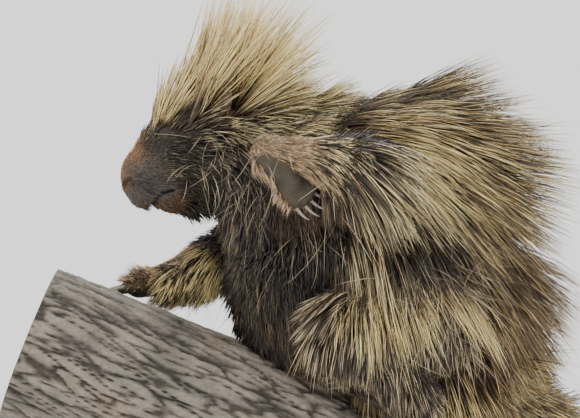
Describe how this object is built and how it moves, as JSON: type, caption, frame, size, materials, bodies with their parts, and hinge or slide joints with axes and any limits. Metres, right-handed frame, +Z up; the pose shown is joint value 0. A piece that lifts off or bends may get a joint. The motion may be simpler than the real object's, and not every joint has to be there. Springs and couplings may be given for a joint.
{
  "type": "still model of a porcupine on a limb",
  "caption": "Life-size still porcupine, one forepaw raised, on a cut length of limb held over a flat base by two rods.",
  "frame": {"origin": "middle of the underside of the display base", "axes": "-X the way the animal faces, -Y its left side, +Z up from the floor"},
  "size_m": [0.5837, 0.3539, 0.6645],
  "materials": {
    "coat": "long coarse guard hair, dark brown with yellow tips",
    "ear_skin": "short brown fur over skin",
    "eye": "wet black eye",
    "paw_skin": "short brown fur, grey pebbled sole, horn claws",
    "limb_wood": "grey furrowed bark with sawn ends",
    "stand_base": "dark satin board",
    "stand_rod": "satin steel rod"
  },
  "bodies": {
    "root": {"head": "coat", "ear_left": "ear_skin", "ear_right": "ear_skin", "eye_left": "eye", "eye_right": "eye", "neck": "coat", "torso": "coat", "tail": "coat", "foreleg_left": "coat", "foreleg_right": "coat", "forepaw_left": "paw_skin", "forepaw_right": "paw_skin", "hindleg_left": "coat", "hindleg_right": "coat", "hindfoot_left": "paw_skin", "hindfoot_right": "paw_skin", "perch_limb": "limb_wood", "stand_base": "stand_base", "stand_rod_front": "stand_rod", "stand_rod_rear": "stand_rod"}
  },
  "joints": []
}
